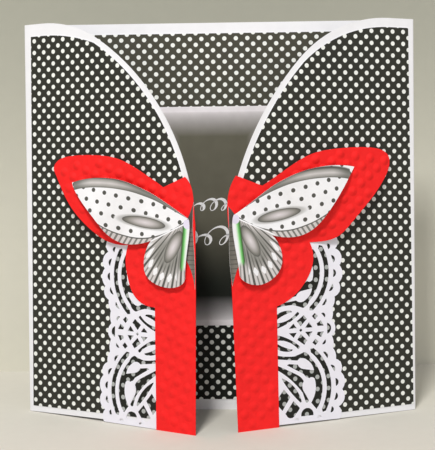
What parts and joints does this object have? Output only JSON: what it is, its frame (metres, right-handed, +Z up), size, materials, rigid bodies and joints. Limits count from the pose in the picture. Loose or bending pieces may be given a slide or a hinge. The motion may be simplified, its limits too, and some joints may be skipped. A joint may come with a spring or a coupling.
{
  "type": "gatefold card",
  "caption": "Square gatefold greeting card of folded paper with part-open gates, dotted mats, lace borders, red strips and a raised butterfly split across the opening.",
  "frame": {"origin": "on the surface that the card stands on, under the middle of the card's box", "axes": "+Z up, -Y towards the front, from which the gates open, +X to the viewer's right"},
  "size_m": [0.2032, 0.0644, 0.2031],
  "materials": {
    "white_card": "smooth matt white card stock",
    "inside_print": "matt paper printed dark grey with small white polka dots",
    "panel_print": "matt paper shaded from white edges to a dark grey middle",
    "gate_print": "matt paper printed charcoal with small white polka dots",
    "lace_paper": "matt white die-cut paper",
    "red_card": "matt red card stock embossed with small round domes",
    "butterfly_print": "matt paper printed in grey, white and a touch of green",
    "white_foam": "white adhesive foam"
  },
  "bodies": {
    "root": {"card_base": "white_card", "inside_mat": "inside_print", "sentiment_panel": "panel_print", "left_gate_mat": "gate_print", "right_gate_mat": "gate_print", "left_lace_strip": "lace_paper", "right_lace_strip": "lace_paper", "left_red_panel": "red_card", "right_red_panel": "red_card", "left_butterfly_body": "butterfly_print", "right_butterfly_body": "butterfly_print", "left_butterfly_wings": "butterfly_print", "right_butterfly_wings": "butterfly_print", "left_foam_pad_forewing": "white_foam", "left_foam_pad_centre": "white_foam", "left_foam_pad_hindwing": "white_foam", "right_foam_pad_forewing": "white_foam", "right_foam_pad_centre": "white_foam", "right_foam_pad_hindwing": "white_foam"}
  },
  "joints": []
}
